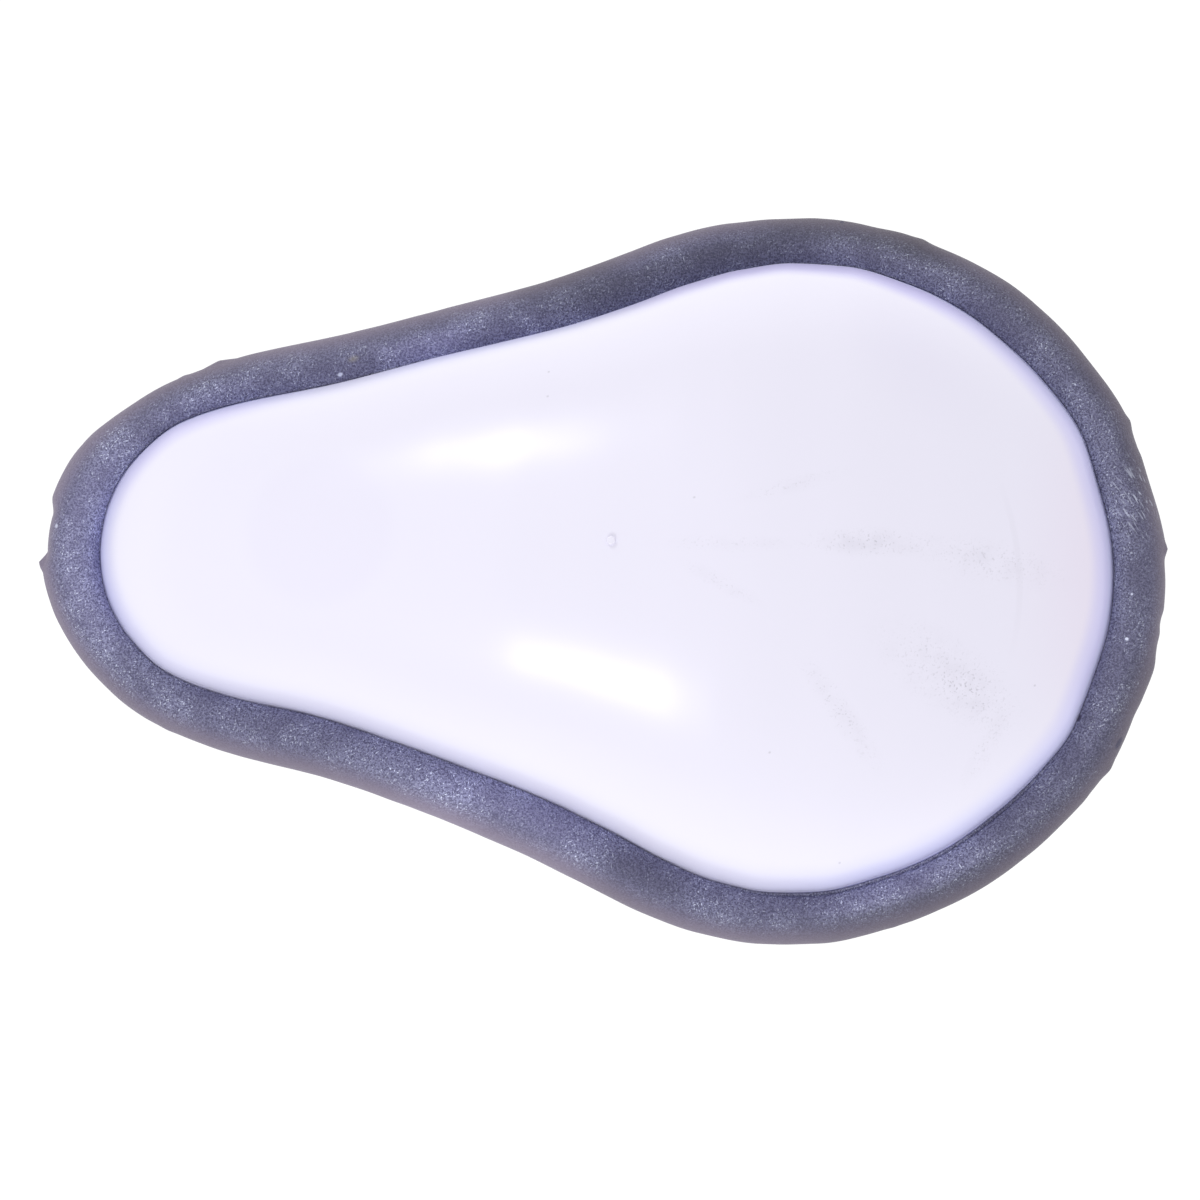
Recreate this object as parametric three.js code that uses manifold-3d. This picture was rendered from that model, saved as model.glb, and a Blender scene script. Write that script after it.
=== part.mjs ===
// Abdominal guard: a hollow pear-shaped shell whose turned-out edge sits in a soft bead.
// Millimetres. +X runs from the narrow end to the wide end, +Z is up through the crown, and Z = 0 is the
// surface that the guard rests on. The plan outline is symmetric about Y = 0, and X = 0 is its middle.
// The functions count x from the narrow tip, and the group moves the finished pieces back by half the length.
import * as THREE from 'three';
import { mergeVertices } from 'three/addons/utils/BufferGeometryUtils.js';
import Module from 'manifold-3d';

// Driving sizes
const guardLength = 160;
const guardWidth = 104;
const crownHeight = 48;
const rimLift = 8.5;
const beadDiameter = 9;
const beadCover = 3.6;
const landWidth = 1.8;
const shellWall = 2.5;
const seatClearance = 0.3;
const nubDiameter = 1.2;
const nubHeight = 0.5;
const nubOffset = 2;

// Fineness of the facets, how often the rim's wave is smoothed, and how close corners are that become one
const stationCount = 96;
const domeSteps = 13;
const arcSteps = { over: 9, under: 3 };
const bendSteps = 3;
const nubSides = 8;
const rimPasses = 6;
const weldReach = 1e-4;

// Outer outline from above: half width as a share of half the guard's width
const outline = [
  { along: 0.000, half: 0.000 },
  { along: 0.015, half: 0.190 },
  { along: 0.051, half: 0.338 },
  { along: 0.104, half: 0.462 },
  { along: 0.175, half: 0.545 },
  { along: 0.264, half: 0.605 },
  { along: 0.353, half: 0.686 },
  { along: 0.442, half: 0.781 },
  { along: 0.496, half: 0.854 },
  { along: 0.549, half: 0.929 },
  { along: 0.602, half: 0.979 },
  { along: 0.656, half: 1.000 },
  { along: 0.709, half: 0.991 },
  { along: 0.780, half: 0.932 },
  { along: 0.834, half: 0.854 },
  { along: 0.887, half: 0.732 },
  { along: 0.923, half: 0.620 },
  { along: 0.958, half: 0.474 },
  { along: 0.980, half: 0.300 },
  { along: 1.000, half: 0.000 },
];

// The rim's wave: lift as a share of rimLift, flattened at nothing where the guard rests, and the slope in
// degrees of the shell's turned edge
const rim = [
  { along: 0.00, lift: -0.01, edgeSlope: 0 },
  { along: 0.03, lift: -0.01, edgeSlope: 26 },
  { along: 0.08, lift: 0.03, edgeSlope: 44 },
  { along: 0.14, lift: 0.20, edgeSlope: 41 },
  { along: 0.20, lift: 0.52, edgeSlope: 29 },
  { along: 0.30, lift: 1.04, edgeSlope: 35 },
  { along: 0.44, lift: 0.70, edgeSlope: 24 },
  { along: 0.52, lift: 0.36, edgeSlope: 14 },
  { along: 0.57, lift: 0.14, edgeSlope: 18 },
  { along: 0.61, lift: -0.14, edgeSlope: 34 },
  { along: 0.66, lift: -0.16, edgeSlope: 42 },
  { along: 0.76, lift: 0.50, edgeSlope: 40 },
  { along: 0.86, lift: 0.84, edgeSlope: 34 },
  { along: 0.97, lift: 0.98, edgeSlope: 35 },
  { along: 1.00, lift: 1.00, edgeSlope: 18 },
];

// The crown line along Y = 0: its rise over the chord between its ends, as a share of the rise at its highest
// place, and how full the cross-section is, where 2 is half an ellipse and more is boxier
const crown = [
  { along: 0.065, rise: 0.165, fullness: 1.9 },
  { along: 0.085, rise: 0.295, fullness: 1.9 },
  { along: 0.113, rise: 0.425, fullness: 1.9 },
  { along: 0.150, rise: 0.550, fullness: 1.9 },
  { along: 0.190, rise: 0.650, fullness: 1.9 },
  { along: 0.240, rise: 0.750, fullness: 1.9 },
  { along: 0.300, rise: 0.840, fullness: 2.0 },
  { along: 0.360, rise: 0.910, fullness: 2.2 },
  { along: 0.440, rise: 0.980, fullness: 2.3 },
  { along: 0.520, rise: 1.000, fullness: 2.2 },
  { along: 0.560, rise: 1.000, fullness: 2.1 },
  { along: 0.600, rise: 0.988, fullness: 2.0 },
  { along: 0.690, rise: 0.856, fullness: 1.9 },
  { along: 0.780, rise: 0.635, fullness: 1.9 },
  { along: 0.860, rise: 0.395, fullness: 1.9 },
  { along: 0.920, rise: 0.180, fullness: 2.0 },
];

// The ridge where both sides' rows meet: its highest place, and how far it reaches towards the ends
const ridge = { top: 0.56, reach: 0.85 };

const beadRadius = beadDiameter / 2;
const slotHalf = shellWall / 2 + seatClearance;
const lipReach = Math.sqrt(beadRadius ** 2 - slotHalf ** 2);
const slotEnd = beadRadius - beadCover;
const landTurn = Math.asin(landWidth / 2 / beadRadius);
const restHeight = beadRadius * Math.cos(landTurn);

// A smooth curve through a table's rows that never overshoots them
function readTable(rows, along, pick) {
  const last = rows.length - 1;
  if (along <= rows[0].along) return pick(rows[0]);
  if (along >= rows[last].along) return pick(rows[last]);
  const climb = (i) => (pick(rows[i + 1]) - pick(rows[i])) / (rows[i + 1].along - rows[i].along);
  const slope = (i) => {
    if (i === 0) return climb(0);
    if (i === last) return climb(last - 1);
    const [before, after] = [climb(i - 1), climb(i)];
    return before * after <= 0 ? 0 : (2 * before * after) / (before + after);
  };
  const i = rows.findIndex((row) => row.along >= along) - 1;
  const span = rows[i + 1].along - rows[i].along;
  const t = (along - rows[i].along) / span;
  const ends = (1 + 2 * t) * (1 - t) ** 2 * pick(rows[i]) + t ** 2 * (3 - 2 * t) * pick(rows[i + 1]);
  return ends + span * (t * (1 - t) ** 2 * slope(i) - t ** 2 * (1 - t) * slope(i + 1));
}

// Half the width at a distance from the narrow tip; squares are read, so that both ends come out round
function outerHalf(x) {
  const square = readTable(outline, x / guardLength, (row) => row.half ** 2);
  return (guardWidth / 2) * Math.sqrt(Math.max(square, 0));
}

// Values round a closed line, each drawn towards its neighbours
function softened(values, passes) {
  const count = values.length;
  const mix = (v, k) => (v[(k + count - 1) % count] + 2 * v[k] + v[(k + 1) % count]) / 4;
  return Array.from({ length: passes }).reduce((kept) => kept.map((_, k) => mix(kept, k)), values);
}

// Stations round the outline, closer together at the ends, each with its outward direction in plan
function makeStations() {
  const corners = Array.from({ length: stationCount }, (_, k) => {
    const turn = (2 * Math.PI * k) / stationCount;
    const x = (guardLength / 2) * (1 - Math.cos(turn));
    return new THREE.Vector2(x, (k < stationCount / 2 ? 1 : -1) * outerHalf(x));
  });
  const readRim = (pick) => softened(corners.map((p) => readTable(rim, p.x / guardLength, pick)), rimPasses);
  const lifts = readRim((row) => row.lift);
  const slopes = readRim((row) => row.edgeSlope);
  return corners.map((corner, k) => {
    const next = corners[(k + 1) % stationCount];
    const before = corners[(k + stationCount - 1) % stationCount];
    const tangent = next.clone().sub(before).normalize();
    return {
      corner,
      outward: new THREE.Vector2(-tangent.y, tangent.x),
      centreHeight: restHeight + rimLift * Math.max(lifts[k], 0),
      edgeSlope: THREE.MathUtils.degToRad(slopes[k]),
    };
  });
}

// A point of a station's upright plane, measured outward and up from the bead's centre
function placeAt(station, outward, up) {
  const plan = station.corner.clone().addScaledVector(station.outward, outward - beadRadius);
  return new THREE.Vector3(plan.x, plan.y, station.centreHeight + up);
}

// The same plane, measured along and square to the turned edge
function placeOnEdge(station, inward, above) {
  const [c, s] = [Math.cos(station.edgeSlope), Math.sin(station.edgeSlope)];
  return placeAt(station, -inward * c + above * s, inward * s + above * c);
}

// Rings of points as one grid of triangles; each ring runs clockwise from above, and rings on a face that
// looks up or out run from the rim to the crown
function gridThrough(rings) {
  const count = rings[0].length;
  const index = [];
  for (let r = 0; r + 1 < rings.length; r += 1) {
    for (let k = 0; k < count; k += 1) {
      const [a, b] = [r * count + k, r * count + ((k + 1) % count)];
      index.push(a, a + count, b, b, a + count, b + count);
    }
  }
  const grid = new THREE.BufferGeometry().setFromPoints(rings.flat());
  grid.setIndex(index);
  return grid;
}

// The same grid as a closed body: corners that meet become one, and triangles without area go
function bodyThrough(rings) {
  const body = mergeVertices(gridThrough(rings), weldReach);
  const found = Array.from(body.getIndex().array);
  const corners = Array.from({ length: found.length / 3 }, (_, i) => found.slice(3 * i, 3 * i + 3));
  body.setIndex(corners.filter((triangle) => new Set(triangle).size === 3).flat());
  return body;
}

// Reads the dome's outer face over a plan point, given the line where the shell leaves the bead
function domeFace(exitLine) {
  const side = exitLine
    .slice(0, stationCount / 2 + 1)
    .map((p) => ({ along: p.x, square: p.y ** 2, height: p.z }));
  const [narrow, wide] = [side[0], side[side.length - 1]];
  const exitHeight = (x) => readTable(side, x, (p) => p.height);
  const chordHeight = (x) => (
    THREE.MathUtils.mapLinear(x, narrow.along, wide.along, narrow.height, wide.height)
  );
  const topRise = crownHeight - chordHeight(ridge.top * guardLength);
  // The rise is nothing at both ends, and its square is read, so that the crown line leaves them upright
  const rises = [
    { along: narrow.along, square: 0 },
    ...crown.map((row) => ({ along: row.along * guardLength, square: row.rise ** 2 })),
    { along: wide.along, square: 0 },
  ];
  const crownAt = (x) => chordHeight(x) + topRise * Math.sqrt(readTable(rises, x, (row) => row.square));
  const fullnessAt = (x) => readTable(crown, x / guardLength, (row) => row.fullness);
  const heightAt = (x, y) => {
    const share = y === 0 ? 1 : Math.max(1 - y ** 2 / readTable(side, x, (p) => p.square), 0);
    return THREE.MathUtils.lerp(exitHeight(x), crownAt(x), share ** (1 / fullnessAt(x)));
  };
  return { fullnessAt, heightAt };
}

// Rings of the dome's outer face from the bead to the ridge, where each ring folds onto itself
function domeOuterRings(exitLine, face) {
  const top = ridge.top * guardLength;
  return Array.from({ length: domeSteps + 1 }, (_, j) => {
    const climb = Math.sin((Math.PI / 2) * (j / domeSteps));
    return exitLine.map((exit) => {
      if (j === 0) return exit;
      const reach = j === domeSteps ? 0 : Math.sqrt(1 - climb ** face.fullnessAt(exit.x));
      const ridgeX = top + (exit.x - top) * ridge.reach;
      const x = THREE.MathUtils.lerp(ridgeX, exit.x, reach);
      return new THREE.Vector3(x, exit.y * reach, face.heightAt(x, exit.y * reach));
    });
  });
}

// The same rings moved in by the wall, square to the outer face
function domeInnerRings(outerRings) {
  const grid = gridThrough(outerRings);
  grid.computeVertexNormals();
  const normals = grid.getAttribute('normal');
  const last = outerRings.length - 1;
  const normalAt = (j, k) => new THREE.Vector3().fromBufferAttribute(normals, j * stationCount + k);
  return outerRings.map((ring, j) => ring.map((p, k) => {
    const away = normalAt(j, k);
    if (j === last) away.add(normalAt(j, (stationCount - k) % stationCount)).normalize();
    return p.clone().addScaledVector(away, -shellWall);
  }));
}

// The line where the shell leaves the bead, on the shell's outer face
function exitLineThrough(stations) {
  return stations.map((station) => placeOnEdge(station, lipReach + seatClearance, shellWall / 2));
}

// The shell: dome, bend and turned edge in one closed skin
function shellBody(stations) {
  const exitLine = exitLineThrough(stations);
  const outer = domeOuterRings(exitLine, domeFace(exitLine));
  const inner = domeInnerRings(outer);
  const edgeReach = seatClearance - slotEnd;
  const edgeTop = stations.map((station) => placeOnEdge(station, edgeReach, shellWall / 2));
  const edgeBottom = stations.map((station) => placeOnEdge(station, edgeReach, -shellWall / 2));
  const bend = Array.from({ length: bendSteps }, (_, i) => stations.map((station, k) => {
    const under = placeOnEdge(station, lipReach + seatClearance, -shellWall / 2).sub(exitLine[k]).normalize();
    const inside = inner[0][k].clone().sub(exitLine[k]).normalize();
    return exitLine[k].clone().addScaledVector(under.lerp(inside, i / bendSteps).normalize(), shellWall);
  }));
  return bodyThrough([...inner.toReversed(), ...bend.toReversed(), edgeBottom, edgeTop, ...outer]);
}

// The moulding nub stands on the crown, with its root in the shell's wall
function nubBody(face) {
  const x = guardLength / 2 + nubOffset;
  const root = shellWall / 2;
  const body = new THREE.CylinderGeometry(nubDiameter / 2, nubDiameter / 2, nubHeight + root, nubSides);
  body.rotateX(Math.PI / 2);
  body.translate(x, 0, face.heightAt(x, 0) + (nubHeight - root) / 2);
  return body;
}

// The bead: a round section with a flat land underneath and a slot for the shell's edge
function beadBody(stations) {
  const slotTurn = Math.asin(slotHalf / beadRadius);
  const sections = stations.map((station) => {
    const upperLip = Math.PI - station.edgeSlope - slotTurn;
    const lowerLip = -Math.PI - station.edgeSlope + slotTurn;
    const arc = (from, to, steps) => Array.from({ length: steps + 1 }, (_, i) => {
      const turn = THREE.MathUtils.lerp(from, to, i / steps);
      return placeAt(station, beadRadius * Math.cos(turn), beadRadius * Math.sin(turn));
    });
    return [
      ...arc(upperLip, landTurn - Math.PI / 2, arcSteps.over),
      ...arc(-landTurn - Math.PI / 2, lowerLip, arcSteps.under),
      placeOnEdge(station, -slotEnd, -slotHalf),
      placeOnEdge(station, -slotEnd, slotHalf),
    ].toReversed();
  });
  const rings = sections[0].map((_, i) => sections.map((section) => section[i]));
  return bodyThrough([...rings, rings[0]]);
}

const wasm = await Module();
wasm.setup();

// A closed body as a solid that can be joined to another
function solidFrom(body) {
  const bare = new THREE.BufferGeometry();
  bare.setAttribute('position', body.getAttribute('position'));
  bare.setIndex(body.getIndex());
  const welded = mergeVertices(bare, weldReach);
  return new wasm.Manifold(new wasm.Mesh({
    numProp: 3,
    vertProperties: welded.getAttribute('position').array,
    triVerts: new Uint32Array(welded.getIndex().array),
  }));
}

function joined(body, other) {
  const mesh = solidFrom(body).add(solidFrom(other)).getMesh();
  const result = new THREE.BufferGeometry();
  result.setAttribute('position', new THREE.BufferAttribute(mesh.vertProperties, 3));
  result.setIndex(new THREE.BufferAttribute(mesh.triVerts, 1));
  return result;
}

function named(name, body, material) {
  const mesh = new THREE.Mesh(body, new THREE.MeshStandardMaterial(material));
  mesh.name = name;
  return mesh;
}

const stations = makeStations();
const shell = joined(shellBody(stations), nubBody(domeFace(exitLineThrough(stations))));
const bead = beadBody(stations);

const guard = new THREE.Group();
guard.position.x = -guardLength / 2;
guard.add(named('shell', shell, { color: '#f0effb', roughness: 0.18, metalness: 0 }));
guard.add(named('edge_bead', bead, { color: '#737596', roughness: 0.5, metalness: 0 }));
export default guard;
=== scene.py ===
import math

import bmesh
import bpy
import numpy as np
from mathutils import Matrix, Vector, noise
from mathutils.kdtree import KDTree


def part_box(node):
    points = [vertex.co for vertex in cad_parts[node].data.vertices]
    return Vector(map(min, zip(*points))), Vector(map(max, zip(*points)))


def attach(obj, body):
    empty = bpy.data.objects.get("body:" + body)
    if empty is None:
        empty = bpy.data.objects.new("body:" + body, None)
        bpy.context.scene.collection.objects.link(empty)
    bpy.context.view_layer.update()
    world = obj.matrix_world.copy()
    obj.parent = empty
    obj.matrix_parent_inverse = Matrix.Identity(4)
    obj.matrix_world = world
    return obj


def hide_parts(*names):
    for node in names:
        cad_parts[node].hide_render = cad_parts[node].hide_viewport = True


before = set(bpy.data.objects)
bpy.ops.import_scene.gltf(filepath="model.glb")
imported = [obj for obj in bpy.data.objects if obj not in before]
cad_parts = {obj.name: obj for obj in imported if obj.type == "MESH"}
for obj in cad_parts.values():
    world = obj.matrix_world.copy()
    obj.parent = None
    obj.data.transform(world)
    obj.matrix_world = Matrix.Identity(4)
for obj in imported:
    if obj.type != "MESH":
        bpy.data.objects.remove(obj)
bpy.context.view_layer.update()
print("frame loaded:", sorted(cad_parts))

rollLow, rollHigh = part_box("edge_bead")

# Sizes that the shell and the roll share
guard = {
    "length": rollHigh.x - rollLow.x,
    "width": rollHigh.y - rollLow.y,
    "crownHeight": 0.048,
    "wall": 0.0025,
    "rimLift": 0.0085,
    "rimSoftness": 0.018,  # share of the whole round over which the rim's wave is smoothed
    "rollRadius": 0.0045,
    "rollCover": 0.0036,  # how far the slot reaches into the roll
    "landWidth": 0.0018,  # the flat strip under the roll
    "seatGap": 0.00005,  # above the shell's turned edge
    "hiddenGap": 0.0003,  # below that edge and at its end
    "weld": 1e-6,
}

# Outline from above: half width as a share of half the guard's width
outline = {
    "along": [0, 0.015, 0.051, 0.104, 0.175, 0.264, 0.353, 0.442, 0.496, 0.549,
              0.602, 0.656, 0.709, 0.780, 0.834, 0.887, 0.923, 0.958, 0.980, 1],
    "half": [0, 0.190, 0.338, 0.462, 0.545, 0.605, 0.686, 0.781, 0.854, 0.929,
             0.979, 1, 0.991, 0.932, 0.854, 0.732, 0.620, 0.474, 0.300, 0],
}

# The rim's wave as a share of its lift, the slope of the shell's turned edge in degrees, and the degrees
# that the moulding adds to it on one side and takes off on the other
rimWave = {
    "along": [0, 0.03, 0.08, 0.14, 0.20, 0.30, 0.44, 0.52, 0.57, 0.61, 0.66, 0.76, 0.86, 0.97, 1],
    "lift": [-0.01, -0.01, 0.03, 0.20, 0.52, 1.04, 0.70, 0.36, 0.14, -0.14, -0.16, 0.50, 0.84, 0.98, 1],
    "edgeSlope": [0, 26, 44, 39, 24, 34, 24, 14, 18, 33, 39, 37, 31, 33, 20],
    "sideTilt": [0, 3.5, 4, 6, 6, 7, 0.5, -1, 0, 1, 1, 1.5, 1.5, 1.5, 0],
}

# The crown line: rise over the chord between its ends, and how full the cross-section is
crownLine = {
    "along": [0.065, 0.085, 0.113, 0.15, 0.19, 0.24, 0.3, 0.36,
             0.44, 0.52, 0.56, 0.6, 0.69, 0.78, 0.86, 0.92],
    "rise": [0.165, 0.295, 0.425, 0.55, 0.65, 0.75, 0.84, 0.91,
             0.98, 1, 1, 0.988, 0.856, 0.635, 0.395, 0.18],
    "fullness": [1.9, 1.9, 1.9, 1.9, 1.9, 1.9, 2, 2.2,
                 2.3, 2.2, 2.1, 2, 1.9, 1.9, 1.9, 2],
}


# A smooth curve through a table's rows that never overshoots them
def readTable(table, column, at, power=1):
    x, y = np.array(table["along"], float), np.array(table[column], float) ** power
    climb = np.diff(y) / np.diff(x)
    product, total = climb[:-1] * climb[1:], climb[:-1] + climb[1:]
    bend = np.where(product > 0, 2 * product / np.where(product > 0, total, 1), 0)
    slope = np.concatenate((climb[:1], bend, climb[-1:]))
    i = np.clip(np.searchsorted(x, at, side="right") - 1, 0, len(x) - 2)
    span = x[i + 1] - x[i]
    t = np.clip((at - x[i]) / span, 0, 1)
    ends = (1 + 2 * t) * (1 - t) ** 2 * y[i] + t ** 2 * (3 - 2 * t) * y[i + 1]
    return ends + span * (t * (1 - t) ** 2 * slope[i] - t ** 2 * (1 - t) * slope[i + 1])


# Values round the rim, drawn towards their neighbours; softness is a share of the whole round
def softened(values, softness):
    for _ in range(round(2 * (softness * len(values)) ** 2)):
        values = (np.roll(values, 1) + 2 * values + np.roll(values, -1)) / 4
    return values


# Stations round the rim from the narrow tip, closer together at both tips
def makeRim(count):
    turn = 2 * np.pi * np.arange(count) / count
    x = guard["length"] / 2 * (1 - np.cos(turn))
    half = guard["width"] / 2 * np.sqrt(np.maximum(readTable(outline, "half", x / guard["length"], 2), 0))
    corner = np.column_stack((x - guard["length"] / 2, np.where(turn < np.pi, half, -half)))
    tangent = np.roll(corner, -1, 0) - np.roll(corner, 1, 0)
    step = np.linalg.norm(tangent, axis=1)
    tangent /= step[:, None]
    lift = softened(readTable(rimWave, "lift", x / guard["length"]), guard["rimSoftness"])
    tilt = readTable(rimWave, "sideTilt", x / guard["length"]) * np.where(turn < np.pi, 1, -1)
    slope = softened(readTable(rimWave, "edgeSlope", x / guard["length"]) + tilt, guard["rimSoftness"])
    landTurn = math.asin(guard["landWidth"] / 2 / guard["rollRadius"])
    return {
        "turn": np.degrees(turn),
        "corner": corner,
        "outward": np.column_stack((-tangent[:, 1], tangent[:, 0])),
        "height": guard["rollRadius"] * math.cos(landTurn) + guard["rimLift"] * np.maximum(lift, 0),
        "slope": np.radians(slope),
        "landTurn": landTurn,
        "along": np.cumsum(step / 2),
    }


# Points of every station's upright plane, measured outward and up from the middle of the roll
def placeAt(rim, out, up):
    reach = np.broadcast_to(out - guard["rollRadius"], rim["turn"].shape)
    plan = rim["corner"] + rim["outward"] * reach[:, None]
    return np.column_stack((plan, rim["height"] + up))


# The same plane, measured along and square to the turned edge
def placeOnEdge(rim, inward, above):
    flat, steep = np.cos(rim["slope"]), np.sin(rim["slope"])
    return placeAt(rim, -inward * flat + above * steep, inward * steep + above * flat)


def selectNothing():
    if bpy.context.mode != "OBJECT":
        bpy.ops.object.mode_set(mode="OBJECT")
    bpy.ops.object.select_all(action="DESELECT")


# In edit mode: merges every two corners that lie closer together than the reach
def weld(reach):
    bpy.ops.mesh.select_all(action="SELECT")
    bpy.ops.mesh.remove_doubles(threshold=reach)


# One vertex per station in a circle, extruded ring by ring, each ring put in its place
def sweepRings(name, rings):
    selectNothing()
    count = len(rings[0])
    bpy.ops.mesh.primitive_circle_add(vertices=count, radius=guard["length"] / 2)
    piece = bpy.context.object
    piece.name = piece.data.name = name
    piece.data.attributes.new("station", "INT", "POINT").data.foreach_set("value", range(count))
    bpy.ops.object.mode_set(mode="EDIT")
    bpy.ops.mesh.select_all(action="SELECT")
    for number, ring in enumerate(rings):
        if number:
            bpy.ops.mesh.extrude_edges_indiv()
        body = bmesh.from_edit_mesh(piece.data)
        station = body.verts.layers.int["station"]
        for vertex in body.verts:
            if vertex.select:
                vertex.co = ring[vertex[station]]
        bmesh.update_edit_mesh(piece.data)
    weld(guard["weld"])
    bpy.ops.mesh.normals_make_consistent(inside=False)
    bpy.ops.object.mode_set(mode="OBJECT")
    bpy.ops.object.shade_smooth()
    return piece


def storeValues(piece, name, values):
    piece.data.attributes.new(name, "FLOAT", "POINT").data.foreach_set("value", values)


def applyModifier(piece, kind, **settings):
    modifier = piece.modifiers.new(kind.title(), kind)
    for setting, value in settings.items():
        setattr(modifier, setting, value)
    bpy.context.view_layer.objects.active = piece
    bpy.ops.object.modifier_apply(modifier=modifier.name)


# The shell
shellShape = {
    "stations": 384,
    "domeRings": 44,
    "ridgeTop": 0.56,
    "ridgeReach": 0.85,
    "cornerRound": 0.00035,
    "cornerSteps": 4,
    "innerWeld": 1e-5,
    "onRidge": 1e-9,  # closer to the middle line than this counts as on it
    "leastSquare": 1e-12,  # keeps the division at the two tips finite
}


# The same line run the other way round from the narrow tip
def otherWay(line):
    return np.roll(line[::-1], 1, 0)


# Reads the height of the dome's outer face over points of the plan
def makeDome(exitLine):
    half = len(exitLine) // 2 + 1
    sides = []
    for line in (exitLine[:half], otherWay(exitLine)[:half]):
        sides.append({"along": line[:, 0], "square": line[:, 1] ** 2, "height": line[:, 2]})
    narrow, wide = exitLine[0], exitLine[half - 1]
    startX = -guard["length"] / 2
    top = startX + shellShape["ridgeTop"] * guard["length"]

    def chord(x):
        return narrow[2] + (wide[2] - narrow[2]) * (x - narrow[0]) / (wide[0] - narrow[0])

    topRise = guard["crownHeight"] - chord(top)
    rises = {
        "along": [narrow[0], *(startX + np.array(crownLine["along"]) * guard["length"]), wide[0]],
        "square": [0, *(np.array(crownLine["rise"]) ** 2), 0],
    }

    def fullness(x):
        return readTable(crownLine, "fullness", (x - startX) / guard["length"])

    def readSides(column, x, y):
        return np.where(y >= 0, readTable(sides[0], column, x), readTable(sides[1], column, x))

    def height(x, y):
        base = readSides("height", x, y)
        crown = chord(x) + topRise * np.sqrt(np.maximum(readTable(rises, "square", x), 0))
        width = np.maximum(readSides("square", x, y), shellShape["leastSquare"])
        share = np.where(np.abs(y) < shellShape["onRidge"], 1, np.maximum(1 - y ** 2 / width, 0))
        return base + (crown - base) * share ** (1 / fullness(x))

    return {"top": top, "fullness": fullness, "height": height}


# Rings from the line where the shell leaves the roll, up to the ridge along its crown
def makeDomeRings(exitLine, dome):
    middle = (exitLine[:, 0] + otherWay(exitLine)[:, 0]) / 2
    ridge = dome["top"] + (middle - dome["top"]) * shellShape["ridgeReach"]
    rings = []
    for step in range(1, shellShape["domeRings"] + 1):
        climb = math.sin(math.pi / 2 * step / shellShape["domeRings"])
        reach = np.sqrt(np.maximum(1 - climb ** dome["fullness"](exitLine[:, 0]), 0))
        if step == shellShape["domeRings"]:
            reach = np.zeros(len(exitLine))
        x = ridge + (exitLine[:, 0] - ridge) * reach
        y = exitLine[:, 1] * reach
        rings.append(np.column_stack((x, y, dome["height"](x, y))))
    return rings


# A round between two straight stretches that meet at a corner
def roundedCorner(before, corner, after, radius, steps):
    def towards(point):
        way = point - corner
        return corner + way / np.linalg.norm(way, axis=1)[:, None] * radius

    first, last = towards(before), towards(after)
    rings = []
    for t in np.linspace(0, 1, steps + 1):
        rings.append((1 - t) ** 2 * first + 2 * t * (1 - t) * corner + t ** 2 * last)
    return rings


def makeShell():
    rim = makeRim(shellShape["stations"])
    slotHalf = guard["wall"] / 2 + guard["seatGap"]
    exitReach = math.sqrt(guard["rollRadius"] ** 2 - slotHalf ** 2) + guard["seatGap"]
    edgeReach = guard["rollCover"] - guard["rollRadius"] + guard["hiddenGap"]
    exitLine = placeOnEdge(rim, exitReach, guard["wall"] / 2)
    edge = placeOnEdge(rim, edgeReach, guard["wall"] / 2)
    dome = makeDome(exitLine)
    domeRings = makeDomeRings(exitLine, dome)
    corner = roundedCorner(edge, exitLine, domeRings[0], shellShape["cornerRound"], shellShape["cornerSteps"])
    shell = sweepRings("glossy_shell", [edge, *corner, *domeRings])
    wall = {"thickness": guard["wall"], "offset": -1, "use_quality_normals": True, "use_rim": True}
    applyModifier(shell, "SOLIDIFY", **wall)
    bpy.ops.object.mode_set(mode="EDIT")
    weld(shellShape["innerWeld"])
    bpy.ops.object.mode_set(mode="OBJECT")
    # How far each corner stands from the roll, seen from above
    line = KDTree(len(exitLine))
    for i, (x, y, _) in enumerate(exitLine):
        line.insert((x, y, 0), i)
    line.balance()
    storeValues(shell, "fromRoll", [line.find((*vertex.co.xy, 0))[2] for vertex in shell.data.vertices])
    return shell, dome


# The little stub where the moulding was cut off its runner
nub = {
    "x": 0.002,
    "radius": 0.0006,
    "height": 0.0005,
    "root": 0.001,
    "sides": 24,
    "bevel": 0.00018,
    "bevelSteps": 3,
    "fromRoll": 1.0,  # as far from the roll as makes no difference
}


def makeNub(dome):
    selectNothing()
    crown = float(dome["height"](np.array([nub["x"]]), np.zeros(1))[0])
    depth = nub["height"] + nub["root"]
    place = (nub["x"], 0, crown + nub["height"] - depth / 2)
    size = {"vertices": nub["sides"], "radius": nub["radius"], "depth": depth}
    bpy.ops.mesh.primitive_cylinder_add(location=place, **size)
    stub = bpy.context.object
    bpy.ops.object.transform_apply()
    storeValues(stub, "fromRoll", [nub["fromRoll"]] * len(stub.data.vertices))
    applyModifier(stub, "BEVEL", width=nub["bevel"], segments=nub["bevelSteps"])
    bpy.ops.object.shade_smooth()
    return stub


# The roll; turns are degrees round its section, from the outside over the top
rollShape = {
    "stations": 960,
    "lipSteps": 12,
    "lipTurn": 18,
    "overSteps": 34,
    "underSteps": 10,
    "lipRound": 0.0004,
    "lipRoundSteps": 3,
    "lumps": [{"size": 0.014, "height": 0.00012}, {"size": 0.004, "height": 0.00005}],
    "partingTurn": 8,  # the middle of what the moulding left standing outside
    "broadMark": 20,  # marks that spread further than this round the section rise and fall softly
    "free": {"from": -0.75, "fade": 0.4},  # nothing swells underneath, where the roll meets the table
    "groove": {"from": 207, "to": 258, "fade": 12, "inset": 7.5, "halfWidth": 2.4, "depth": 0.0004},
}

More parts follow.
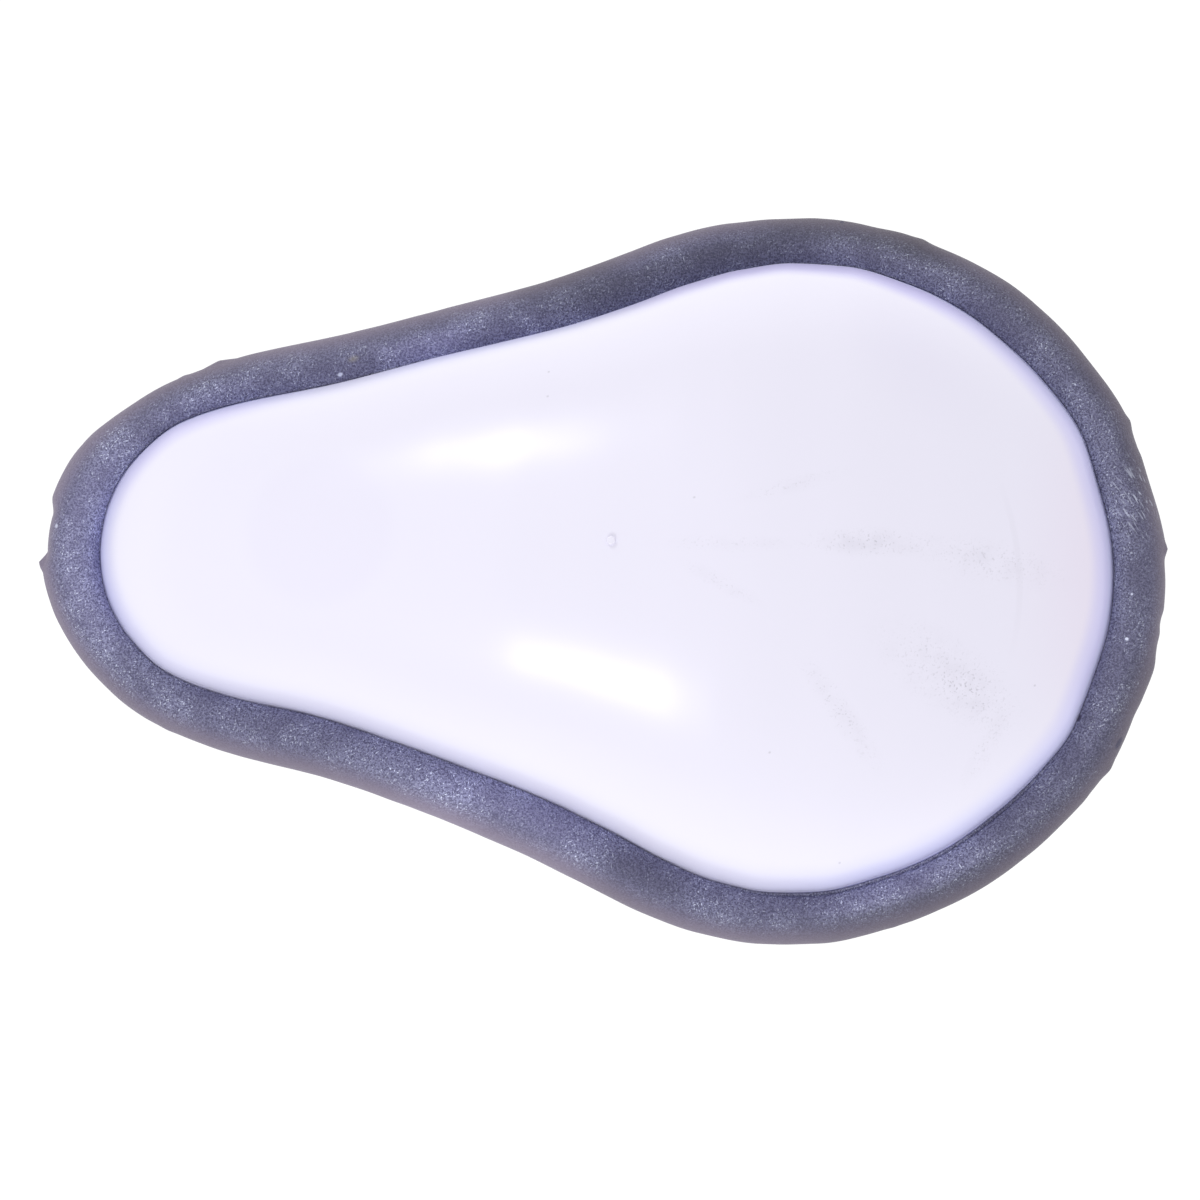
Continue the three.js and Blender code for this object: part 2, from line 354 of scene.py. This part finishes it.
# How the moulding wanders from an even round outside: degrees round the rim from the narrow tip, height and
# reach in millimetres, share of the reach at full height, degrees round the section that it spreads over
rollMarks = [
    (3, -0.95, 5.6, 0.5, 45),
    (357, 0.90, 1.5, 0, 9),
    (21.5, 0.50, 10, 0.1, 55),
    (346, -0.22, 13, 0.1, 55),
    (40.7, 0.15, 1.1, 0, 12),
    (46, 0.42, 2.6, 0, 14),
    (112, 0.34, 7, 0.1, 55),
    (121.5, 0.22, 5, 0.1, 55),
    (123.2, 0.16, 1.4, 0, 12),
    (139, 0.32, 14, 0.1, 55),
    (157.2, 0.24, 1.2, 0, 14),
    (159.5, -0.16, 2.6, 0.2, 40),
    (174, 0.36, 1.2, 0, 10),
    (182, -0.42, 9.0, 0.6, 45),
    (184.8, -0.24, 2.0, 0.1, 30),
    (194.5, 0.24, 5.0, 0.4, 45),
    (204.6, 0.22, 1.6, 0, 14),
    (207.5, -0.12, 3.0, 0.2, 40),
    (237, 0.10, 1.5, 0, 14),
    (276, 0.26, 20, 0.1, 55),
    (319, 0.12, 1.6, 0, 14),
]


# How far along the rim every station stands from the one at that turn
def roundDistance(rim, turn):
    whole = rim["along"][-1]
    place = np.interp(turn % 360, rim["turn"], rim["along"])
    apart = np.abs(rim["along"] - place)
    return np.minimum(apart, whole - apart)


def makeRoll():
    rim = makeRim(rollShape["stations"])
    radius = guard["rollRadius"]
    slotHalf = guard["wall"] / 2 + guard["seatGap"]
    underHalf = guard["wall"] / 2 + guard["hiddenGap"]
    slotEnd = radius - guard["rollCover"]
    upperLip = np.pi - rim["slope"] - math.asin(slotHalf / radius)
    lowerLip = -np.pi - rim["slope"] + math.asin(underHalf / radius)
    marks = []
    for turn, height, reach, flat, spread in rollMarks:
        near = np.clip((1 - roundDistance(rim, turn) / (reach / 1000)) / (1 - flat), 0, 1)
        if spread > rollShape["broadMark"]:
            near = near ** 2 * (3 - 2 * near)
        marks.append((height / 1000 * near, math.radians(spread)))
    parting = math.radians(rollShape["partingTurn"])
    free, groove = rollShape["free"], rollShape["groove"]
    into = np.minimum(rim["turn"] - groove["from"], groove["to"] - rim["turn"])
    grooveDepth = groove["depth"] * np.clip(into / groove["fade"], 0, 1)
    grooveTurn = upperLip - math.radians(groove["inset"])

    def onRoll(turn):
        turn = np.broadcast_to(turn, rim["turn"].shape)
        points = placeAt(rim, radius * np.cos(turn), radius * np.sin(turn))
        swell = np.zeros(len(points))
        for lump in rollShape["lumps"]:
            swell += [lump["height"] * noise.noise(Vector(p) / lump["size"]) for p in points]
        for height, spread in marks:
            swell += height * np.exp(-((turn - parting) / spread) ** 2)
        swell *= np.clip((np.sin(turn) - free["from"]) / free["fade"], 0, 1)
        swell -= grooveDepth * np.exp(-((turn - grooveTurn) / math.radians(groove["halfWidth"])) ** 2)
        return placeAt(rim, (radius + swell) * np.cos(turn), (radius + swell) * np.sin(turn))

    def arc(start, end, steps):
        return [onRoll(start + (end - start) * i / steps) for i in range(steps + 1)]

    upperSlot = placeOnEdge(rim, -slotEnd, slotHalf)
    lowerSlot = placeOnEdge(rim, -slotEnd, -underHalf)
    overStart = upperLip - math.radians(rollShape["lipTurn"])
    over = [*arc(upperLip, overStart, rollShape["lipSteps"])[1:],
            *arc(overStart, rim["landTurn"] - math.pi / 2, rollShape["overSteps"])[1:]]
    under = arc(-rim["landTurn"] - math.pi / 2, lowerLip, rollShape["underSteps"])
    lip = (rollShape["lipRound"], rollShape["lipRoundSteps"])
    upper = roundedCorner(upperSlot, onRoll(upperLip), over[0], *lip)
    lower = roundedCorner(under[-2], onRoll(lowerLip), lowerSlot, *lip)
    roll = sweepRings("edge_roll", [upperSlot, *upper, *over[1:], *under[:-1], *lower, lowerSlot, upperSlot])
    # How far each corner is turned round the section
    middle = placeAt(rim, 0, 0)
    turns = []
    for vertex, station in zip(roll.data.vertices, roll.data.attributes["station"].data):
        away = np.array(vertex.co) - middle[station.value]
        turns.append(math.degrees(math.atan2(away[2], away[:2] @ rim["outward"][station.value])))
    storeValues(roll, "turn", turns)
    return roll


# A socket that Python arithmetic can use: each sum adds its Math node
class Value:
    def __init__(self, finish, socket):
        self.finish, self.socket = finish, socket

    def sum(self, operation, first, second):
        return self.finish.add("ShaderNodeMath", {"operation": operation}, {0: first, 1: second})

    def __add__(self, other):
        return self.sum("ADD", self, other)

    def __sub__(self, other):
        return self.sum("SUBTRACT", self, other)

    def __rsub__(self, other):
        return self.sum("SUBTRACT", other, self)

    def __mul__(self, other):
        return self.sum("MULTIPLY", self, other)

    def __pow__(self, other):
        return self.sum("POWER", self, other)

    __radd__, __rmul__ = __add__, __mul__


# Nodes under construction in a material or in the world
class Finish:
    def __init__(self, owner, shader="Principled BSDF", place="Object"):
        owner.use_nodes = True
        self.nodes, self.links = owner.node_tree.nodes, owner.node_tree.links
        self.shader = self.nodes[shader]
        self.place = self.add("ShaderNodeTexCoord", output=place)
        self.depth = 100  # so deep that height makes no difference to a patch

    # Settings come first, because some of them change which sockets a node has
    def add(self, kind, settings=None, sockets=None, output=0):
        node = self.nodes.new(kind)
        for setting, value in (settings or {}).items():
            setattr(node, setting, value)
        for socket, value in (sockets or {}).items():
            self.feed(node.inputs[socket], value)
        return Value(self, node.outputs[output])

    def feed(self, socket, value):
        if isinstance(value, Value):
            self.links.new(value.socket, socket)
        else:
            socket.default_value = value

    def give(self, **values):
        for name, value in values.items():
            self.feed(self.shader.inputs[name.replace("_", " ")], value)

    def mixed(self, share, first, second):
        sockets = {"Factor": share, 6: first, 7: second}
        return self.add("ShaderNodeMix", {"data_type": "RGBA"}, sockets, output=2)

    def stored(self, name):
        return self.add("ShaderNodeAttribute", {"attribute_name": name}, output="Fac")

    # Noise over the object; grow stretches it along x, y and z after the turn about z
    def grain(self, size, detail=2, roughness=0.5, turn=0, grow=(1, 1, 1)):
        place = self.place
        if turn or grow != (1, 1, 1):
            sockets = {"Vector": place, "Rotation": (0, 0, math.radians(turn)), "Scale": grow}
            place = self.add("ShaderNodeMapping", {"vector_type": "TEXTURE"}, sockets)
        sockets = {"Vector": place, "Scale": 1 / size, "Detail": detail, "Roughness": roughness}
        return self.add("ShaderNodeTexNoise", {"noise_dimensions": "3D"}, sockets)

    # 0 at low and 1 at high, whichever of them is the larger number
    def between(self, value, low, high):
        sockets = {"Value": value, "From Min": low, "From Max": high}
        return self.add("ShaderNodeMapRange", {"interpolation_type": "SMOOTHSTEP"}, sockets)

    # A soft patch seen from above, 1 at its middle, that reaches through everything under it
    def patch(self, x, y, length, width, turn=0, core=0.0):
        sockets = {
            "Vector": self.place,
            "Location": (x, y, 0),
            "Rotation": (0, 0, math.radians(turn)),
            "Scale": (length / 2, width / 2, self.depth),
        }
        local = self.add("ShaderNodeMapping", {"vector_type": "TEXTURE"}, sockets)
        far = self.add("ShaderNodeVectorMath", {"operation": "LENGTH"}, {0: local}, output="Value")
        return self.between(far, 1, core)

    def facing(self, way, low, high):
        normal = self.add("ShaderNodeNewGeometry", output="Normal")
        operation = {"operation": "DOT_PRODUCT"}
        dot = self.add("ShaderNodeVectorMath", operation, {0: normal, 1: way}, output="Value")
        return self.between(dot, low, high)

    def bump(self, height, distance, strength=1.0):
        return self.add("ShaderNodeBump", {}, {"Height": height, "Distance": distance, "Strength": strength})


# Grey rubs on the shell: middle, length and width in metres, turn in degrees, strength
shellRubs = [
    (0.018, 0.0003, 0.026, 0.0030, 3, 0.35),
    (0.037, 0.0020, 0.022, 0.0050, 5, 1.00),
    (0.054, 0.0010, 0.028, 0.0080, -6, 0.70),
    (0.0265, 0.0090, 0.020, 0.0030, 20, 0.40),
    (0.017, -0.0050, 0.016, 0.0030, -25, 0.40),
    (0.049, -0.0150, 0.030, 0.0130, -28, 0.75),
    (0.052, -0.0170, 0.014, 0.0080, -20, 0.50),
    (0.034, -0.0210, 0.024, 0.0045, -51, 0.70),
    (0.0545, -0.0240, 0.016, 0.0040, 63, 0.50),
]
# Dust specks on the shell: middle in metres
shellSpecks = [(-0.0077, 0.0239), (-0.0076, 0.0201), (0.0129, 0.0063), (0.0352, -0.0407), (0.061, -0.0152),
               (0.0246, -0.0269)]
shellTones = {
    "white": (0.835, 0.815, 0.94, 1),
    "rollReflectionShade": (0.68, 0.685, 1.0, 1),
    "rollReflectionBand": (0.62, 0.585, 0.90, 1),
    "rub": (0.36, 0.34, 0.40, 1),
    "speck": (0.10, 0.09, 0.12, 1),
    "pinkShade": (0.835, 0.765, 0.905, 1),
    "shade": (0.74, 0.71, 0.88, 1),
}
# A faint line left by a round edge: the middle of its circle, and its radius and width
shellArc = {"x": 0.0196, "y": -0.0037, "radius": 0.0386, "width": 0.0006}


def makeShellFinish():
    material = bpy.data.materials.new("white_gloss")
    finish = Finish(material)
    outside = finish.facing((0, 0, 1), 0, 0.15)
    grit = finish.between(finish.grain(0.00040, 2, 0.6), 0.57, 0.68)
    cloud = finish.between(finish.grain(0.004, 3, 0.6), 0.30, 0.75)
    rubbed = 0
    for x, y, length, width, turn, strength in shellRubs:
        rubbed = finish.patch(x, y, length, width, turn) * strength + rubbed
    speckled = 0
    for x, y in shellSpecks:
        speckled = finish.patch(x, y, 0.0005, 0.0004, 30, core=0.4) + speckled
    plan = finish.add("ShaderNodeVectorMath", {"operation": "MULTIPLY"}, {0: finish.place, 1: (1, 1, 0)})
    middle = (shellArc["x"], shellArc["y"], 0)
    away = finish.add("ShaderNodeVectorMath", {"operation": "DISTANCE"}, {0: plan, 1: middle}, output="Value")
    line = finish.between((away - shellArc["radius"]) ** 2, shellArc["width"] ** 2, 0)
    # Painted shade: a broad lavender-grey patch on the upper side of the wide part
    paintedShade = finish.patch(0.042, 0.029, 0.034, 0.020, -40) * 0.2
    tone = finish.mixed(paintedShade, shellTones["white"], shellTones["shade"])
    # Painted shade: the wide end a little darker and pinker
    tone = finish.mixed(finish.patch(0.0720, 0.003, 0.036, 0.085) * 0.8, tone, shellTones["pinkShade"])
    # Painted reflection: a faint darker round patch on the narrow part, where something dark overhead would
    # be reflected
    tone = finish.mixed(finish.patch(-0.038, 0.001, 0.024, 0.024, core=0.7) * 0.15, tone, shellTones["shade"])
    tone = finish.mixed(line * finish.patch(0.057, 0.001, 0.012, 0.032) * 0.06, tone, shellTones["rub"])
    tone = finish.mixed(rubbed * cloud * outside * 0.16, tone, shellTones["rub"])
    tone = finish.mixed(rubbed * grit * outside * 0.42, tone, shellTones["rub"])
    tone = finish.mixed(speckled * outside * 0.2, tone, shellTones["speck"])
    # Painted reflection and shade of the blue-grey roll: the white is painted lavender within a few
    # millimetres of the roll, less where the spared patches lie
    border = finish.stored("fromRoll")
    spared = finish.patch(-0.020, -0.040, 0.170, 0.050, -18, core=0.5) * 0.6
    spared = finish.patch(-0.040, 0.031, 0.034, 0.024, core=0.4) * 0.8 + spared
    tone = finish.mixed(finish.between(border, 0.0037, 0) * (1 - spared) * 0.95, tone, shellTones["rollReflectionShade"])
    # Painted reflection of the roll: a wider lavender band a millimetre or more from the roll, where the
    # wideEnd patches lie
    wideEnd = finish.patch(0.054, 0.022, 0.110, 0.110, core=0.6) * 0.5
    wideEnd = finish.patch(0.022, 0.046, 0.090, 0.036, core=0.5) * 0.65 + wideEnd
    wideEnd = finish.patch(-0.064, 0.022, 0.044, 0.040, core=0.4) * 0.6 + wideEnd
    rollReflectionBand = finish.between(border, 0.0040, 0.0018) * finish.between(border, 0.0002, 0.0011) * wideEnd
    tone = finish.mixed(rollReflectionBand, tone, shellTones["rollReflectionBand"])
    wear = finish.grain(0.0012, 3, 0.6)
    finish.give(Base_Color=tone, Roughness=0.27)
    finish.give(Normal=finish.bump(wear, 0.00002, 0.15))
    return material


rollTones = {
    "deep": (0.075, 0.072, 0.145, 1),
    "slate": (0.165, 0.160, 0.275, 1),
    "pale": (0.30, 0.31, 0.48, 1),
    "glint": (0.72, 0.76, 0.95, 1),
    "mauveFloorReflection": (0.215, 0.175, 0.235, 1),
    "edge": (0.045, 0.04, 0.09, 1),
    "stain": (0.36, 0.33, 0.27, 1),
}


# Small things on the roll seen from above, the pale ones partly white pips and partly painted glints: place,
# length and width in metres, turn in degrees, strength
paleMarksAndGlints = [(0.0741, -0.0075, 0.0007, 0.0006, 0, 1), (0.0746, -0.0012, 0.0005, 0.0004, 0, 0.8),
             (-0.0377, 0.0252, 0.0010, 0.0007, 20, 0.9), (-0.0775, 0.0028, 0.0008, 0.0006, 90, 0.6)]
darkMarks = [(0.0323, 0.0513, 0.0009, 0.0007, 0, 1), (0.0737, -0.0220, 0.0026, 0.0009, 63, 1),
             (0.0679, -0.0188, 0.0014, 0.0009, 60, 1)]


# Where the roll is painted lighter or darker, partly patches of its skin and partly painted light and shade,
# the narrow tip lighter and the wide end darker: middle, length and width in metres, turn in degrees, and the
# share added outside and on top
rollShades = [
    (-0.078, 0.000, 0.034, 0.064, 0, 0.12, 0.38),
    (-0.027, 0.033, 0.020, 0.018, 0, -0.05, 0.50),
    (0.006, 0.045, 0.056, 0.030, 8, -0.15, -0.42),
    (0.062, 0.000, 0.120, 0.190, 0, -0.38, -0.14),
    (0.046, -0.047, 0.040, 0.022, 30, -0.05, 0.38),
    (-0.013, -0.039, 0.040, 0.024, -14, 0.25, 0.48),
    (0.034, 0.049, 0.038, 0.024, 0, -0.27, -0.09),
    (-0.007, 0.040, 0.022, 0.022, 20, -0.20, -0.04),
    (-0.058, 0.025, 0.026, 0.018, 28, -0.08, 0.22),
    (-0.026, -0.036, 0.030, 0.026, -18, 0.12, 0.14),
    (0.006, -0.045, 0.022, 0.015, 0, -0.05, -0.20),
    (0.078, 0.002, 0.014, 0.034, 0, 0.16, -0.09),
]


# Short pale fibres, painted near-white on the top of the roll as painted glints: size in metres, turn in
# degrees, how much longer than wide
rollFibres = [(0.00020, 20, (3, 1, 1)), (0.00022, 100, (3, 1, 1)), (0.00026, 60, (1.5, 1, 1))]


# Fine mottled moulding with short pale fibres in its upper skin, painted there as glints with a painted
# highlight; the outside of its bulge is smoother and painted mauve as a reflection of the floor
def makeRollFinish():
    material = bpy.data.materials.new("slate_moulding")
    finish = Finish(material)
    turn = finish.stored("turn")
    upper = finish.between(turn, 25, 75)
    inner = finish.between(turn, 95, 128)
    topward = finish.between(turn, 60, 90)
    topside = finish.between(turn, -15, 5)
    mottle = finish.between(finish.grain(0.00026, 2, 0.7), 0.38, 0.62)
    drift = finish.between(finish.grain(0.0065, 4, 0.6), 0.38, 0.64)
    fibres = 0
    for size, angle, grow in rollFibres:
        fibres = finish.between(finish.grain(size, 1, 0.5, angle, grow), 0.66, 0.76) + fibres
    scratches = finish.between(finish.grain(0.00035, 2, 0.5, 128, (9, 1, 1)), 0.58, 0.68)
    scratches = scratches * finish.patch(0.0745, 0.0130, 0.010, 0.018, 10) * topside
    tone = finish.mixed(mottle, rollTones["deep"], rollTones["slate"])
    # Lighter mottles on the top, partly the moulding's own pattern and partly a painted highlight; the inner
    # side gets more of them as painted light where it lies in shade
    tone = finish.mixed(mottle * upper * (drift * 0.5 + inner * 0.35 + 0.05), tone, rollTones["pale"])
    # Painted reflection of the bright floor: the outside of the bulge painted mauve
    tone = finish.mixed((1 - upper) * 0.7, tone, rollTones["mauveFloorReflection"])
    # Painted glints: the fibres painted near-white on the top, together with the real whitish scratches
    glintsAndScratches = fibres * upper * (drift * 0.75 + 0.25) * 0.9 + scratches * 0.8
    tone = finish.mixed(glintsAndScratches, tone, rollTones["glint"])
    level = 1
    for x, y, length, width, angle, outer, top in rollShades:
        level = finish.patch(x, y, length, width, angle, core=0.4) * (topward * (top - outer) + outer) + level
    # Painted light: the roll lighter next to its lip, where it sits in the shell's shade
    level = finish.between(turn, 118, 136) * 0.16 + level
    tone = finish.add("ShaderNodeVectorMath", {"operation": "SCALE"}, {0: tone, "Scale": level})
    stain = finish.patch(-0.0359, 0.0274, 0.0024, 0.0014, 20) * topside * 0.5
    tone = finish.mixed(stain, tone, rollTones["stain"])
    for marks, colour in ((paleMarksAndGlints, "glint"), (darkMarks, "edge")):
        for x, y, length, width, angle, strength in marks:
            shown = finish.patch(x, y, length, width, angle, core=0.4) * topside * strength
            tone = finish.mixed(shown, tone, rollTones[colour])
    finish.give(Base_Color=tone, Roughness=0.52 - fibres * upper * 0.12)
    finish.give(Normal=finish.bump(mottle + fibres, 0.00006, 0.5))
    return material


def giveFinish(piece, material):
    piece.data.materials.clear()
    piece.data.materials.append(material)


shell, dome = makeShell()
stub = makeNub(dome)
selectNothing()
stub.select_set(True)
shell.select_set(True)
bpy.context.view_layer.objects.active = shell
bpy.ops.object.join()
print("shell modelled:", len(shell.data.polygons), "faces")
roll = makeRoll()
print("roll modelled:", len(roll.data.polygons), "faces")
giveFinish(shell, makeShellFinish())
giveFinish(roll, makeRollFinish())
print("finishes made")

for piece, node in ((shell, "shell"), (roll, "edge_bead")):
    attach(piece, "root")
    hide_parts(node)

# The photograph's view: nearly straight down, leaning a little towards one side and the wide end
cameraView = {"lean": 5.70, "sideLean": 0.75, "heading": 2.57, "distance": 0.7198, "lens": 152.2}
cameraView.update(targetHeight=0.008, drop=0.00438)


def makeCamera():
    heading, lean, side = (math.radians(cameraView[angle]) for angle in ("heading", "lean", "sideLean"))
    right = Vector((math.cos(heading), math.sin(heading), 0))
    ahead = Vector((-math.sin(heading), math.cos(heading), 0))
    back = (Vector((0, 0, math.cos(lean))) - ahead * math.sin(lean) + right * math.sin(side)).normalized()
    target = Vector((0, 0, cameraView["targetHeight"]))
    eye = target + back * cameraView["distance"]
    up = (ahead - back * ahead.dot(back)).normalized()
    back = (eye - target + up * cameraView["drop"]).normalized()
    right = up.cross(back).normalized()
    camera = bpy.data.objects.new("photo_camera", bpy.data.cameras.new("photo_camera"))
    bpy.context.scene.collection.objects.link(camera)
    camera.data.lens = cameraView["lens"]
    turned = Matrix((right, back.cross(right), back)).transposed().to_4x4()
    camera.matrix_world = Matrix.Translation(eye) @ turned
    bpy.context.scene.camera = camera


# Two soft boxes stand above and below the picture, a little to its left, in a bright room
studio = {
    "sky": 0.825,
    "rightGain": 0.10,
    "ceiling": {"azimuth": 230, "elevation": 80, "reach": 24, "fade": 14, "drop": 0.25},
    "floor": {"tone": (0.05, 0.05, 0.05, 1), "glow": 1.01},
    "boxes": [
        {"name": "upper_box", "azimuth": 121, "elevation": 32.5,
         "distance": 1.0, "size": (0.30, 0.30), "power": 2.2},
        {"name": "lower_box", "azimuth": -108, "elevation": 37,
         "distance": 1.0, "size": (0.34, 0.30), "power": 2.6},
    ],
}


def directionTo(azimuth, elevation):
    azimuth, elevation = math.radians(azimuth), math.radians(elevation)
    flat = math.cos(elevation)
    return Vector((math.cos(azimuth) * flat, math.sin(azimuth) * flat, math.sin(elevation)))


def makeFloor():
    selectNothing()
    bpy.ops.mesh.primitive_plane_add(size=6, location=(0, 0, -0.00005))
    floor = bpy.context.object
    floor.name = "floor"
    material = bpy.data.materials.new("lit_floor")
    finish = Finish(material)
    finish.give(Base_Color=studio["floor"]["tone"], Roughness=0.9)
    finish.give(Emission_Color=(1, 1, 1, 1), Emission_Strength=studio["floor"]["glow"])
    giveFinish(floor, material)


def makeLights():
    world = bpy.data.worlds.new("studio")
    bpy.context.scene.world = world
    sky = Finish(world, "Background", "Generated")
    ceiling = studio["ceiling"]

    def towards(way):
        operation = {"operation": "DOT_PRODUCT"}
        return sky.add("ShaderNodeVectorMath", operation, {0: sky.place, 1: way}, output="Value")

    edge, middle = (math.cos(math.radians(ceiling["reach"] + step * ceiling["fade"] / 2)) for step in (1, -1))
    dark = sky.between(towards(directionTo(ceiling["azimuth"], ceiling["elevation"])), edge, middle)
    strength = towards((studio["rightGain"], 0, 0)) + studio["sky"] - dark * ceiling["drop"]
    sky.give(Color=(1, 1, 1, 1), Strength=strength)
    for box in studio["boxes"]:
        light = bpy.data.lights.new(box["name"], "AREA")
        light.shape, (light.size, light.size_y), light.energy = "RECTANGLE", box["size"], box["power"]
        lamp = bpy.data.objects.new(box["name"], light)
        bpy.context.scene.collection.objects.link(lamp)
        way = directionTo(box["azimuth"], box["elevation"])
        lamp.location = way * box["distance"] + Vector((0, 0, guard["crownHeight"]))
        lamp.rotation_euler = way.to_track_quat("Z", "Y").to_euler()
    bpy.context.scene.view_settings.view_transform = "Standard"


makeCamera()
makeFloor()
makeLights()
print("stage set")
